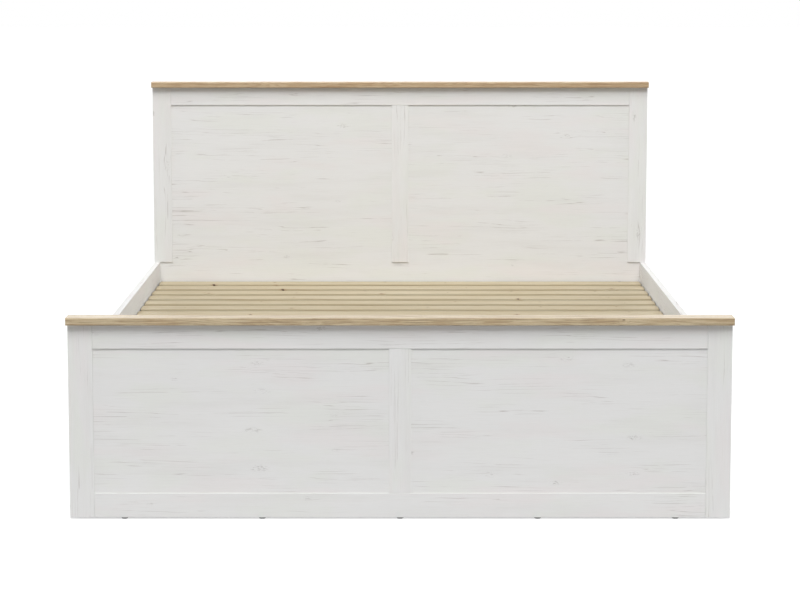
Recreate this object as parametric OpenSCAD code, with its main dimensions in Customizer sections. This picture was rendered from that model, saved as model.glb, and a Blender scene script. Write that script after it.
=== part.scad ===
// Storage bed with a lift-up slatted base, for a 160 by 200 cm mattress.
// X runs to the right, Y from the footboard to the headboard and Z up.
// The origin is on the floor, under the middle of the bed.

/* [Mattress space] */
// Width of the mattress that the bed takes
mattress_w = 1600; // [1300:10:1920]
// Length of the mattress that the bed takes
mattress_l = 2000; // [1660:10:2400]
// Room beside the mattress, on each side
side_room = 15; // [5:1:30]
// Room past the ends of the mattress, both ends together
end_room = 19; // [0:1:40]

/* [Headboard] */
// Height of the headboard with its cap
head_h = 995; // [850:1:1250]
// Height of the headboard's top batten
head_rail_h = 60; // [40:1:90]

/* [Footboard] */
// Height of the footboard with its cap
foot_h = 517; // [460:1:640]
// Height of the footboard's top batten
foot_top_rail_h = 62; // [40:1:90]
// Height of the footboard's bottom batten
foot_bottom_rail_h = 63; // [40:1:90]

/* [Boards] */
// Thickness of the panels and of the battens behind them
board_t = 16; // [15:1:22]
// Thickness of the stiles and battens on the panels' fronts
front_t = 4; // [3:0.5:10]
// Width of the outer stiles
stile_w = 62; // [50:1:90]
// Width of the centre stiles
centre_stile_w = 56; // [40:1:90]
// Thickness of the oak caps
cap_t = 19; // [18:1:30]
// How far a cap stands proud at the front
cap_front = 20; // [10:1:26]
// How far a cap stands proud at each end
cap_side = 2; // [1:0.5:8]
// Radius of a cap's long edges
cap_edge_r = 2.5; // [1:0.5:4]

/* [Side rails] */
// Thickness of a side rail
rail_t = 18; // [16:1:25]
// Height of a side rail's top above the floor
rail_top = 382; // [350:1:420]
// How far a side rail sits back from the end of the panels
rail_inset = 1; // [0:0.5:5]

/* [Glides] */
// Height of the plastic glides
glide_h = 4; // [3:1:8]
// Diameter of the plastic glides
glide_d = 17; // [12:1:24]

/* [Slats] */
// Number of slats
slat_count = 18; // [12:1:18]
// Width of a slat
slat_w = 68; // [50:1:72]
// Thickness of a slat
slat_t = 18; // [15:1:22]
// Gap between the headboard and the first slat
first_slat_gap = 7; // [5:1:12]
// How far the slats lie below the top of the side rails
slat_drop = 65; // [50:1:90]
// Gap between a slat's end and the side rail
slat_end_gap = 3; // [2:0.5:6]

/* [Lifting frame] */
// Height of the steel tubes
tube_h = 30; // [25:1:40]
// Width of the steel tubes
tube_w = 20; // [15:1:30]
// Wall of the steel tubes
tube_wall = 1.5; // [1:0.5:3]
// Gap between the frame's side tube and the lift arm
arm_side_gap = 2; // [1.5:0.5:6]
// Gap between the footboard panel and the frame's foot end
foot_gap = 49; // [30:1:90]
// Diameter of the screws that hold the slats
slat_screw_d = 4; // [3:0.5:5]

/* [Lift arms] */
// Length of a lift arm between its two pivots
arm_len = 300; // [260:1:330]
// Slope of a closed arm, in degrees
arm_slope = 24; // [20:1:27]
// How far a lift arm swings, in degrees
arm_swing = 33; // [20:1:36]
// How much narrower a lift arm is than the eyes at its ends
arm_waist = 4; // [2:1:8]
// Thickness of a lift arm
arm_t = 6; // [5:0.5:6]
// Diameter of the arm's two pivot bolts
arm_pivot_d = 12; // [10:1:14]
// Running clearance of every pivot, on the radius
pivot_clear = 0.05; // [0.02:0.01:0.08]

/* [Track rollers] */
// Diameter of a roller
roller_d = 30; // [24:1:34]
// Width of a roller
roller_w = 11; // [8:1:12]
// Diameter of a roller's pin
roller_pin_d = 10; // [8:1:12]
// Clearance of the roller in its track, above and below
track_clear = 0.3; // [0.2:0.1:1]
// Thickness of the lift plates
plate_t = 4; // [3:0.5:5]

/* [Gas struts] */
// Diameter of a gas strut's tube
strut_d = 18; // [15:1:18]
// Diameter of a gas strut's rod
strut_rod_d = 8; // [6:1:10]
// Diameter of the studs that a gas strut turns on
strut_stud_d = 8; // [6:1:8]
// Distance from the arm's lower pivot to each end of the gas strut
strut_link = 240; // [220:1:250]
// Height of the gas strut's lower stud above the storage floor
strut_stud_room = 21; // [18:1:30]
// Play between the rod's eye and its stud, on the radius
rod_eye_play = 2.3; // [2.2:0.1:2.6]
// Length of rod that shows when closed
rod_show = 38; // [30:1:44]

/* [Storage box] */
// Thickness of the storage floor
floor_t = 8; // [6:1:10]
// Side of the square battens under the storage floor
cleat = 20; // [15:1:22]
// Gap round the storage floor's panels
floor_gap = 1; // [0.5:0.5:2]
// Height of the rubber buffers on the centre divider
buffer_h = 5; // [4:1:8]
// Depth of the battens that carry the slats' ends
support_h = 30; // [20:1:40]
// Width of those battens
support_w = 18; // [12:1:24]

/* [Fastenings] */
// Leg of a corner bracket
bracket_leg = 40; // [36:1:42]
// Thickness of a corner bracket
bracket_t = 3; // [2:0.5:4]
// Diameter of the bolts in the brackets and the lift plates
bolt_d = 6; // [5:1:8]
// Length of those bolts in the board
bolt_grip = 12; // [10:1:13]
// Diameter of the beech dowels in the caps
dowel_d = 8; // [6:1:10]
// Length of the dowels
dowel_l = 30; // [25:1:34]

/* [Hidden] */
$fn = 48;

// Main places across the bed
inner_x = mattress_w / 2 + side_room;
outer_x = inner_x + rail_t;
body_x = outer_x + rail_inset;
stile_x = body_x - stile_w;

// Main places along the bed
rail_len = front_t + mattress_l + end_room + board_t;
bed_l = cap_front + front_t + board_t + rail_len + 2 * board_t;
head_y = bed_l / 2 - 2 * board_t;
foot_y = head_y - rail_len;
foot_front_y = foot_y - board_t - front_t;

// Main heights
head_cap_z = head_h - cap_t;
foot_cap_z = foot_h - cap_t;
slat_top = rail_top - slat_drop;
slat_z = slat_top - slat_t;
tube_z = slat_z - tube_h;
floor_z = glide_h + cleat;
slat_screw_head = 2.5;
cleat_gap = 0.5;
buffer_z = tube_z - buffer_h;

// Layers of the lift, counted from the side rail towards the middle
gap = 0.3;
plate_to_strut = 1;
strut_to_arm = 3;
plate_x = inner_x - plate_t;
strut_x = plate_x - plate_to_strut - strut_d / 2;
arm_out_x = strut_x - strut_d / 2 - strut_to_arm;
arm_in_x = arm_out_x - arm_t;
tube_out_x = arm_in_x - arm_side_gap;
tube_in_x = tube_out_x - tube_w;

// Slats and the frame's two ends
frame_set_back = 1;
foot_tube_to_slat = 25;
frame_foot_y = foot_y + foot_gap;
frame_head_y = head_y - first_slat_gap - frame_set_back;
last_slat_gap = foot_gap + tube_w + foot_tube_to_slat;
slat_pitch = (rail_len - first_slat_gap - last_slat_gap - slat_w) / (slat_count - 1);

// Pivots of the lift when it is closed, from the roller's place in the head corner
bracket_to_track = 3;
roller_to_track_end = 2;
arm_eye_in = 1;
track_start = bracket_leg + bracket_to_track;
roller_u = track_start + roller_to_track_end + roller_d / 2;
arm_eye_d = tube_h - 2 * arm_eye_in;
arm_w = arm_eye_d - arm_waist;
arm_rise = arm_len * sin(arm_slope);
arm_run = arm_len * cos(arm_slope);
lift_z = slat_z - tube_h / 2 - arm_rise;
roller_y = head_y - roller_u;
top_pivot_y = roller_y - arm_run;
top_pivot_z = lift_z + arm_rise;
low_pivot_y = roller_y - 2 * arm_run;
roller_travel = 2 * arm_len * (cos(arm_slope) - cos(arm_slope + arm_swing));

// Ends of the gas strut, both at strut_link from the arm's lower pivot
rod_stud_y = low_pivot_y + strut_link * cos(arm_slope);
rod_stud_z = lift_z + strut_link * sin(arm_slope);
strut_stud_z = floor_z + floor_t + strut_stud_room;
strut_fall = asin((lift_z - strut_stud_z) / strut_link);
strut_stud_y = low_pivot_y + strut_link * cos(strut_fall);
strut_angle = arm_slope + strut_fall;
strut_closed = 2 * strut_link * sin(strut_angle / 2);
strut_lean = atan2(rod_stud_y - strut_stud_y, rod_stud_z - strut_stud_z);
eye_shoulder = 4;
rod_eye_wall = 4.7;
tube_eye_wall = 6;
eye_w = strut_d - 2 * eye_shoulder;
rod_eye_r = strut_stud_d / 2 + rod_eye_play + rod_eye_wall;
tube_eye_r = strut_stud_d / 2 + tube_eye_wall;
strut_tube_l = strut_closed - rod_eye_r - rod_show;
strut_wall = 1.5;
strut_end_wall = 6;
piston_l = 6;
piston_low = 24;

// Track for the rollers
track_h = roller_d + 2 * track_clear;
track_wall = 2.5;
track_lip = 2.4;
track_run_out = 9;
pin_flange = 1.5;
roller_x = plate_x - track_wall - pin_flange - 2 * gap - roller_w;
track_depth = plate_x - roller_x + track_lip;
track_head_y = head_y - track_start;
track_foot_y = roller_y - roller_travel - roller_d / 2 - track_run_out;

// Bolt places on a lift plate, in Y and Z, clear of the track and of the strut's swing
plate_bolts = [[track_head_y - 37, lift_z - 36], [track_foot_y + 65, lift_z - 36],
               [track_foot_y - 20, lift_z + 3], [low_pivot_y + 138, lift_z + 3],
               [low_pivot_y + 63, lift_z + 3]];
// Bolt heights on a corner bracket and their distance from the corner
bracket_low = 40;
bracket_high = 200;
bracket_bolt_z = [70, 170];
bracket_bolt_in = 24;
bolt_head_t = 3;

// Fixings along the boards
dowel_inset = 134;
glide_inset = 137;
dowel_x = [-1, -0.5, 0, 0.5, 1] * (body_x - dowel_inset);
foot_glide_x = [-1, -0.5, 0, 0.5, 1] * (body_x - glide_inset);
head_glide_x = [-1, 0, 1] * (body_x - glide_inset);
rail_glide_y = [-1, 0, 1] * rail_len / 4;

// Notch in the divider, under the lowest point that the lifting frame's head end reaches
notch_run_out = 19;
notch_clear = 18;
swing_low_z = lift_z + arm_len * sin(arm_slope + arm_swing)
            - tube_h / 2 * cos(arm_swing) - (frame_head_y - top_pivot_y) * sin(arm_swing);
divider_notch_u = roller_u + roller_travel + notch_run_out;
divider_notch_z = swing_low_z - notch_clear;

// The battens under the slats' ends stop short of the lift
support_to_pivot = 72;
support_y = low_pivot_y - support_to_pivot;

// The frame's middle cross tube lies under one slat
mid_cross_y = slat_mid_y(ceil(slat_count / 2) + 1);

function two_digits(n) = n < 10 ? str("0", n) : str(n);
function slat_name(i) = str("slat_", two_digits(i));
function slat_mid_y(i) = head_y - first_slat_gap - slat_pitch * (i - 1) - slat_w / 2;

// A box from its lowest corner to its highest corner
module board(low, high) {
    translate(low) cube(high - low);
}

// A round bar along X, from x1 to x2, centred on y and z
module bar_x(x1, x2, r, y, z, sides = $fn) {
    translate([x1, y, z]) rotate([0, 90, 0]) cylinder(h = x2 - x1, r = r, $fn = sides);
}

// A round bar along Y, from y1 to y2
module bar_y(y1, y2, r, x, z) {
    translate([x, y1, z]) rotate([-90, 0, 0]) cylinder(h = y2 - y1, r = r);
}

// A flat shape drawn in Y and Z, given a thickness along X from x1 to x2
module slab_x(x1, x2) {
    translate([x1, 0, 0]) rotate([90, 0, 90]) linear_extrude(x2 - x1) children();
}

module mirror_x(flip = true) {
    mirror([flip ? 1 : 0, 0, 0]) children();
}

module both_sides() {
    children();
    mirror_x() children();
}

module whitewash() {
    color([0.86, 0.86, 0.84]) children();
}

module oak() {
    color([0.78, 0.64, 0.48]) children();
}

module pine() {
    color([0.84, 0.75, 0.58]) children();
}

module black_steel() {
    color([0.13, 0.13, 0.14]) children();
}

module zinc() {
    color([0.72, 0.73, 0.74]) children();
}

// Holes for the dowels that join a cap to its panel
module dowel_holes(panel_y, cap_z) {
    for (x = dowel_x)
        translate([x, panel_y + board_t / 2, cap_z - dowel_l / 2 - 1])
            cylinder(h = dowel_l + 2, d = dowel_d);
}

// Headboard

module headboard_panel() {
    whitewash() difference() {
        board([-body_x, head_y, glide_h], [body_x, head_y + board_t, head_cap_z]);
        dowel_holes(head_y, head_cap_z);
        both_sides() panel_bolt_holes(head_y, 1);
    }
}

module headboard_stile(flip) {
    whitewash() mirror_x(flip)
        board([stile_x, head_y - front_t, rail_top], [body_x, head_y, head_cap_z]);
}

module headboard_centre_stile() {
    whitewash() board([-centre_stile_w / 2, head_y - front_t, rail_top],
                      [centre_stile_w / 2, head_y, head_cap_z - head_rail_h]);
}

module headboard_top_rail() {
    whitewash() board([-stile_x, head_y - front_t, head_cap_z - head_rail_h],
                      [stile_x, head_y, head_cap_z]);
}

module headboard_back_rail() {
    whitewash() board([-body_x, head_y + board_t, head_cap_z - head_rail_h],
                      [body_x, head_y + 2 * board_t, head_cap_z]);
}

// A cap with rounded long edges, from its front at y1 to its back at y2
module cap(y1, y2, z) {
    r = cap_edge_r;
    slab_x(-body_x - cap_side, body_x + cap_side) union() {
        translate([y1 + r, z]) square([y2 - y1 - 2 * r, cap_t]);
        translate([y1, z + r]) square([y2 - y1, cap_t - 2 * r]);
        for (y = [y1 + r, y2 - r], h = [z + r, z + cap_t - r])
            translate([y, h]) circle(r = r);
    }
}

module headboard_cap() {
    oak() difference() {
        cap(head_y - front_t - cap_front, head_y + 2 * board_t, head_cap_z);
        dowel_holes(head_y, head_cap_z);
    }
}

// Footboard

module footboard_panel() {
    whitewash() difference() {
        board([-body_x, foot_y - board_t, glide_h], [body_x, foot_y, foot_cap_z]);
        dowel_holes(foot_y - board_t, foot_cap_z);
        both_sides() panel_bolt_holes(foot_y, -1);
    }
}

module footboard_stile(flip) {
    whitewash() mirror_x(flip)
        board([stile_x, foot_front_y, glide_h], [body_x, foot_y - board_t, foot_cap_z]);
}

module footboard_batten(x, z1, z2) {
    whitewash() board([-x, foot_front_y, z1], [x, foot_y - board_t, z2]);
}

module footboard_centre_stile() {
    footboard_batten(centre_stile_w / 2, glide_h + foot_bottom_rail_h,
                     foot_cap_z - foot_top_rail_h);
}

module footboard_top_rail() {
    footboard_batten(stile_x, foot_cap_z - foot_top_rail_h, foot_cap_z);
}

module footboard_bottom_rail() {
    footboard_batten(stile_x, glide_h, glide_h + foot_bottom_rail_h);
}

module footboard_back_rail() {
    whitewash() board([-body_x, foot_y, foot_cap_z - foot_top_rail_h],
                      [body_x, foot_y + board_t, foot_cap_z]);
}

module footboard_cap() {
    oak() difference() {
        cap(foot_front_y - cap_front, foot_y + board_t, foot_cap_z);
        dowel_holes(foot_y - board_t, foot_cap_z);
    }
}

module cap_dowels() {
    color([0.80, 0.68, 0.50]) for (place = [[head_y, head_cap_z], [foot_y - board_t, foot_cap_z]])
        for (x = dowel_x)
            translate([x, place[0] + board_t / 2, place[1] - dowel_l / 2])
                cylinder(h = dowel_l, d = dowel_d - 0.1);
}

// Side rails, floor and divider

module side_rail(flip) {
    whitewash() mirror_x(flip) difference() {
        board([inner_x, foot_y, glide_h], [outer_x, head_y, rail_top]);
        for (z = bracket_bolt_z, y = [head_y - bracket_bolt_in, foot_y + bracket_bolt_in])
            bar_x(inner_x - 1, inner_x + bolt_grip + 1, bolt_d / 2, y, z);
        for (b = plate_bolts)
            bar_x(inner_x - 1, inner_x + bolt_grip + 1, bolt_d / 2, b[0], b[1]);
    }
}

module support_battens() {
    pine() both_sides()
        board([inner_x - support_w, foot_y, slat_z - support_h], [inner_x, support_y, slat_z]);
}

// A glide is a low disc with a bevelled foot
module glide(x, y) {
    bevel = 1;
    translate([x, y, 0]) cylinder(h = bevel, d1 = glide_d - 2 * bevel, d2 = glide_d);
    translate([x, y, bevel]) cylinder(h = glide_h - bevel, d = glide_d);
}

module glides() {
    color([0.55, 0.55, 0.56]) {
        for (x = foot_glide_x) glide(x, (foot_front_y + foot_y) / 2);
        for (x = head_glide_x) glide(x, head_y + board_t / 2);
        for (y = rail_glide_y, side = [-1, 1]) glide(side * (inner_x + rail_t / 2), y);
        for (y = rail_glide_y) glide(0, y);
    }
}

// The divider is cut down at the head end, where the frame swings lower
module centre_divider() {
    whitewash() slab_x(-board_t / 2, board_t / 2)
        polygon([[foot_y, glide_h], [head_y, glide_h], [head_y, divider_notch_z],
                 [head_y - divider_notch_u, divider_notch_z],
                 [head_y - divider_notch_u, buffer_z], [foot_y, buffer_z]]);
}

// Rubber buffers between the divider and the centre tube, midway between slats
module divider_buffers() {
    half_l = 15;
    color([0.10, 0.10, 0.10]) for (k = [1:3]) {
        y = slat_mid_y(ceil(slat_count * k / 4)) - slat_pitch / 2;
        board([-board_t / 2, y - half_l, buffer_z], [board_t / 2, y + half_l, tube_z]);
    }
}

module floor_panels() {
    color([0.90, 0.90, 0.88]) both_sides() {
        board([board_t / 2 + floor_gap, foot_y + floor_gap, floor_z],
              [inner_x - floor_gap, -floor_gap, floor_z + floor_t]);
        board([board_t / 2 + floor_gap, floor_gap, floor_z],
              [inner_x - floor_gap, head_y - floor_gap, floor_z + floor_t]);
    }
}

module floor_cleats() {
    pine() both_sides() {
        board([board_t / 2, foot_y, glide_h], [board_t / 2 + cleat, head_y, floor_z]);
        board([inner_x - cleat, foot_y, glide_h], [inner_x, head_y, floor_z]);
        board([board_t / 2 + cleat + cleat_gap, -cleat, glide_h],
              [inner_x - cleat - cleat_gap, cleat, floor_z]);
    }
}

// Corner brackets and bolts

module corner_bracket() {
    board([inner_x - bracket_t, head_y - bracket_leg, bracket_low],
          [inner_x, head_y, bracket_high]);
    board([inner_x - bracket_leg, head_y - bracket_t, bracket_low],
          [inner_x, head_y, bracket_high]);
}

// Repeats a headboard corner at the footboard, turned end for end
module both_ends() {
    children();
    translate([0, foot_y + head_y, 0]) mirror([0, 1, 0]) children();
}

module corner_brackets() {
    zinc() both_sides() both_ends() difference() {
        corner_bracket();
        for (z = bracket_bolt_z) {
            bar_x(inner_x - bracket_t - 1, inner_x + 1, bolt_d / 2,
                  head_y - bracket_bolt_in, z);
            bar_y(head_y - bracket_t - 1, head_y + 1, bolt_d / 2,
                  inner_x - bracket_bolt_in, z);
        }
    }
}

// Holes in an end panel for its bracket bolts; the bolts go towards y times way
module panel_bolt_holes(face_y, way) {
    for (z = bracket_bolt_z)
        bar_y(way > 0 ? face_y - 1 : face_y - bolt_grip - 1,
              way > 0 ? face_y + bolt_grip + 1 : face_y + 1,
              bolt_d / 2, inner_x - bracket_bolt_in, z);
}

// A button-head bolt along X whose head sits on a face at x
module bolt_x(x, y, z, through) {
    bar_x(x - bolt_head_t, x, bolt_d, y, z);
    bar_x(x - 0.5, x + through + bolt_grip, bolt_d / 2 - 0.05, y, z);
}

module bolt_y(x, y, z, through) {
    bar_y(y - bolt_head_t, y, bolt_d, x, z);
    bar_y(y - 0.5, y + through + bolt_grip, bolt_d / 2 - 0.05, x, z);
}

module frame_bolts() {
    zinc() both_sides() {
        both_ends() for (z = bracket_bolt_z) {
            bolt_x(inner_x - bracket_t, head_y - bracket_bolt_in, z, bracket_t);
            bolt_y(inner_x - bracket_bolt_in, head_y - bracket_t, z, bracket_t);
        }
        for (b = plate_bolts)
            bolt_x(plate_x, b[0], b[1], plate_t);
    }
}

// Lift plates, arms and rollers

// Steel plate on the side rail, with the roller's track welded on
module lift_plate(flip) {
    top = lift_z + 24;
    low = strut_stud_z - 17;
    track_low = lift_z - 50;
    foot_y1 = low_pivot_y - 30;
    corner = [6, 10];
    black_steel() mirror_x(flip) difference() {
        union() {
            slab_x(plate_x, inner_x)
                polygon([[track_head_y, top], [foot_y1 + corner[0], top],
                         [foot_y1, top - corner[1]], [foot_y1, lift_z - 18],
                         [strut_stud_y - 44, low], [strut_stud_y + 32, low],
                         [track_foot_y + 4, track_low], [track_head_y, track_low]]);
            track();
        }
        bar_x(plate_x - 1, inner_x + 1, arm_pivot_d / 2, low_pivot_y, lift_z);
        bar_x(plate_x - 1, inner_x + 1, strut_stud_d / 2, strut_stud_y, strut_stud_z);
        for (b = plate_bolts)
            bar_x(plate_x - 1, inner_x + 1, bolt_d / 2, b[0], b[1]);
    }
}

// The track is a channel that opens towards the middle of the bed
module track() {
    half = track_h / 2;
    for (side = [-1, 1]) {
        low = side < 0 ? lift_z - half - track_wall : lift_z + half;
        board([plate_x - track_depth, track_foot_y, low],
              [plate_x + 0.5, track_head_y, low + track_wall]);
    }
    board([plate_x - track_wall, track_foot_y, lift_z - half - track_wall],
          [plate_x + 0.5, track_head_y, lift_z + half + track_wall]);
}

// Pins fixed in the lift plate: the arm's lower pivot and the strut's lower stud
module lift_pivot_pins() {
    head_t = 6;
    clip_t = 2.5;
    head_in_x = arm_in_x - gap;
    eye_in_x = strut_x - eye_w / 2 - gap;
    eye_out_x = strut_x + eye_w / 2 + gap;
    zinc() both_sides() {
        bar_x(head_in_x - head_t, head_in_x, arm_pivot_d / 2 + 4, low_pivot_y, lift_z, 6);
        bar_x(head_in_x - 1, inner_x, arm_pivot_d / 2, low_pivot_y, lift_z);
        bar_x(arm_out_x + gap, plate_x, arm_pivot_d / 2 + 3, low_pivot_y, lift_z);
        bar_x(eye_in_x - clip_t, eye_in_x, strut_stud_d / 2 + 3, strut_stud_y, strut_stud_z);
        bar_x(eye_in_x - 1, inner_x, strut_stud_d / 2, strut_stud_y, strut_stud_z);
        bar_x(eye_out_x, plate_x, strut_stud_d / 2 + 3, strut_stud_y, strut_stud_z);
    }
}

// Flat steel arm with a bore at each end and the stud for the gas strut's rod
module lift_arm(flip) {
    black_steel() mirror_x(flip) {
        difference() {
            union() {
                bar_x(arm_in_x, arm_out_x, arm_eye_d / 2, low_pivot_y, lift_z);
                bar_x(arm_in_x, arm_out_x, arm_eye_d / 2, top_pivot_y, top_pivot_z);
                translate([arm_in_x, low_pivot_y, lift_z]) rotate([arm_slope, 0, 0])
                    translate([0, 0, -arm_w / 2]) cube([arm_t, arm_len, arm_w]);
            }
            for (p = [[low_pivot_y, lift_z], [top_pivot_y, top_pivot_z]])
                bar_x(arm_in_x - 1, arm_out_x + 1, arm_pivot_d / 2 + pivot_clear, p[0], p[1]);
        }
        rod_stud();
    }
}

// A wide washer keeps the rod's oversize eye on its stud
module rod_stud() {
    washer_t = 2;
    eye_in_x = strut_x - eye_w / 2 - gap;
    eye_out_x = strut_x + eye_w / 2 + gap;
    bar_x(arm_out_x - 1, eye_in_x, strut_stud_d / 2 + 4, rod_stud_y, rod_stud_z);
    bar_x(eye_in_x - 1, eye_out_x + 1, strut_stud_d / 2, rod_stud_y, rod_stud_z);
    bar_x(eye_out_x, eye_out_x + washer_t, strut_stud_d / 2 + 6, rod_stud_y, rod_stud_z);
}

// A roller turns on a flanged pin that is riveted in the frame's bracket
module roller(flip) {
    color([0.88, 0.88, 0.86]) mirror_x(flip) difference() {
        bar_x(roller_x, roller_x + roller_w, roller_d / 2, roller_y, lift_z);
        bar_x(roller_x - 1, roller_x + roller_w + 1, roller_pin_d / 2 + pivot_clear,
              roller_y, lift_z);
    }
}

// Steel frame under the slats

module tube_along_y(x1, x2, y1, y2) {
    difference() {
        board([x1, y1, tube_z], [x2, y2, slat_z]);
        board([x1 + tube_wall, y1 - 1, tube_z + tube_wall],
              [x2 - tube_wall, y2 + 1, slat_z - tube_wall]);
    }
}

module tube_along_x(x1, x2, y1, y2) {
    difference() {
        board([x1, y1, tube_z], [x2, y2, slat_z]);
        board([x1 - 1, y1 + tube_wall, tube_z + tube_wall],
              [x2 + 1, y2 - tube_wall, slat_z - tube_wall]);
    }
}

module slat_screw_holes(x) {
    for (i = [1:slat_count])
        translate([x, slat_mid_y(i), tube_z - 1])
            cylinder(h = tube_h + 2, d = slat_screw_d + 0.2);
}

// Side tube with the bracket and the pin for the roller
module base_side_tube(flip) {
    bracket_x = tube_out_x + plate_t;
    pin_end_x = roller_x + roller_w + gap;
    reach = roller_d / 2 + 3;
    black_steel() mirror_x(flip) {
        difference() {
            tube_along_y(tube_in_x, tube_out_x, frame_foot_y, frame_head_y);
            bar_x(tube_in_x - 1, tube_out_x + 1, arm_pivot_d / 2, top_pivot_y, top_pivot_z);
            slat_screw_holes(tube_in_x + tube_w / 2);
        }
        slab_x(tube_out_x, bracket_x) union() {
            polygon([[roller_y + 42, slat_z - 2], [roller_y - 72, slat_z - 2],
                     [roller_y - 72, tube_z], [roller_y - reach, lift_z],
                     [roller_y + reach, lift_z], [roller_y + 42, tube_z]]);
            translate([roller_y, lift_z]) circle(r = reach);
        }
        bar_x(bracket_x - 1, roller_x - gap, roller_pin_d / 2 + 3, roller_y, lift_z);
        bar_x(roller_x - 1, pin_end_x + 1, roller_pin_d / 2, roller_y, lift_z);
        bar_x(pin_end_x, pin_end_x + pin_flange, roller_pin_d / 2 + 2, roller_y, lift_z);
    }
}

module base_centre_tube() {
    black_steel() difference() {
        tube_along_y(-tube_w / 2, tube_w / 2, frame_foot_y + tube_w, frame_head_y - tube_w);
        slat_screw_holes(0);
    }
}

module base_cross_tubes() {
    black_steel() {
        tube_along_x(-tube_in_x, tube_in_x, frame_head_y - tube_w, frame_head_y);
        tube_along_x(-tube_in_x, tube_in_x, frame_foot_y, frame_foot_y + tube_w);
        both_sides()
            tube_along_x(tube_w / 2, tube_in_x, mid_cross_y - tube_w / 2, mid_cross_y + tube_w / 2);
    }
}

// Bolts through the side tubes that carry the arms' upper ends
module base_pivot_bolts() {
    head_t = 5;
    nut_in_x = arm_out_x + gap;
    zinc() both_sides() {
        bar_x(tube_in_x - head_t, tube_in_x, arm_pivot_d / 2 + 4, top_pivot_y, top_pivot_z, 6);
        bar_x(tube_in_x - 1, arm_out_x + 3, arm_pivot_d / 2, top_pivot_y, top_pivot_z);
        bar_x(tube_out_x, arm_in_x - gap, arm_pivot_d / 2 + 4, top_pivot_y, top_pivot_z);
        bar_x(nut_in_x, nut_in_x + head_t, arm_pivot_d / 2 + 3, top_pivot_y, top_pivot_z, 6);
    }
}

// Gas struts

// Turns a strut drawn upwards from its lower eye onto the line to its upper eye
module on_strut_line() {
    translate([strut_x, strut_stud_y, strut_stud_z]) rotate([-strut_lean, 0, 0]) children();
}

module eye(z, r, bore) {
    difference() {
        bar_x(-eye_w / 2, eye_w / 2, r, 0, z);
        bar_x(-eye_w / 2 - 1, eye_w / 2 + 1, bore, 0, z);
    }
}

module strut_cylinders() {
    cavity_z = piston_low - 2;
    black_steel() both_sides() on_strut_line() {
        eye(0, tube_eye_r, strut_stud_d / 2 + pivot_clear);
        difference() {
            union() {
                translate([0, 0, tube_eye_r - 1]) cylinder(h = 10, d = eye_w - 2);
                translate([0, 0, tube_eye_r + 5])
                    cylinder(h = strut_tube_l - tube_eye_r - 5, d = strut_d);
            }
            translate([0, 0, cavity_z])
                cylinder(h = strut_tube_l - strut_end_wall - cavity_z,
                         d = strut_d - 2 * strut_wall);
            translate([0, 0, cavity_z])
                cylinder(h = strut_tube_l, d = strut_rod_d + 2 * pivot_clear);
        }
    }
}

module strut_rods() {
    zinc() both_sides() on_strut_line() {
        eye(strut_closed, rod_eye_r, strut_stud_d / 2 + rod_eye_play);
        translate([0, 0, piston_low])
            cylinder(h = piston_l, d = strut_d - 2 * strut_wall - 2 * pivot_clear);
        difference() {
            translate([0, 0, piston_low])
                cylinder(h = strut_closed - piston_low - rod_eye_r + 2, d = strut_rod_d);
            bar_x(-eye_w, eye_w, strut_stud_d / 2 + rod_eye_play, 0, strut_closed);
        }
    }
}

// Slats, their screws and the strap

module slat(i) {
    y = slat_mid_y(i);
    x = inner_x - slat_end_gap;
    pine() difference() {
        board([-x, y - slat_w / 2, slat_z], [x, y + slat_w / 2, slat_top]);
        for (sx = [-1, 0, 1])
            translate([sx * (tube_in_x + tube_w / 2), y, slat_z - 1])
                cylinder(h = slat_t - 4, d = slat_screw_d);
    }
}

module slat_screws() {
    zinc() for (i = [1:slat_count], sx = [-1, 0, 1])
        translate([sx * (tube_in_x + tube_w / 2), slat_mid_y(i), tube_z - slat_screw_head]) {
            cylinder(h = slat_screw_head, d = 2 * slat_screw_d);
            cylinder(h = slat_screw_head + tube_h + slat_t - 6, d = slat_screw_d - 0.1);
        }
}

// Webbing tab for lifting, fixed to the foot tube and laid over the last slat
module pull_strap() {
    strap_t = 3;
    strap_w = 40;
    end_in = 6;
    low = tube_z + 4;
    back_y = frame_foot_y;
    lap_y = slat_mid_y(slat_count) + slat_w / 2 - end_in;
    color([0.20, 0.20, 0.21]) slab_x(-strap_w / 2, strap_w / 2)
        polygon([[back_y, low], [back_y, slat_top], [lap_y, slat_top],
                 [lap_y, slat_top + strap_t], [back_y - strap_t, slat_top + strap_t],
                 [back_y - strap_t, low]]);
}

headboard_panel();
headboard_stile(true);  // headboard_stile_left
headboard_stile(false);  // headboard_stile_right
headboard_centre_stile();
headboard_top_rail();
headboard_back_rail();
headboard_cap();
footboard_panel();
footboard_stile(true);  // footboard_stile_left
footboard_stile(false);  // footboard_stile_right
footboard_centre_stile();
footboard_top_rail();
footboard_bottom_rail();
footboard_back_rail();
footboard_cap();
cap_dowels();
side_rail(true);  // side_rail_left
side_rail(false);  // side_rail_right
support_battens();
glides();
centre_divider();
divider_buffers();
floor_panels();
floor_cleats();
corner_brackets();
frame_bolts();
lift_plate(true);  // lift_plate_left
lift_plate(false);  // lift_plate_right
lift_pivot_pins();
lift_arm(true);  // lift_arm_left
lift_arm(false);  // lift_arm_right
base_side_tube(true);  // base_side_tube_left
base_side_tube(false);  // base_side_tube_right
base_centre_tube();
base_cross_tubes();
base_pivot_bolts();
roller(true);  // roller_left
roller(false);  // roller_right
strut_cylinders();
strut_rods();
slat_screws();
pull_strap();
for (i = [1:slat_count])
    slat(i);
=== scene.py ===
# A storage bed in whitewashed boards with oak caps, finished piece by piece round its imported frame.

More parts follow.
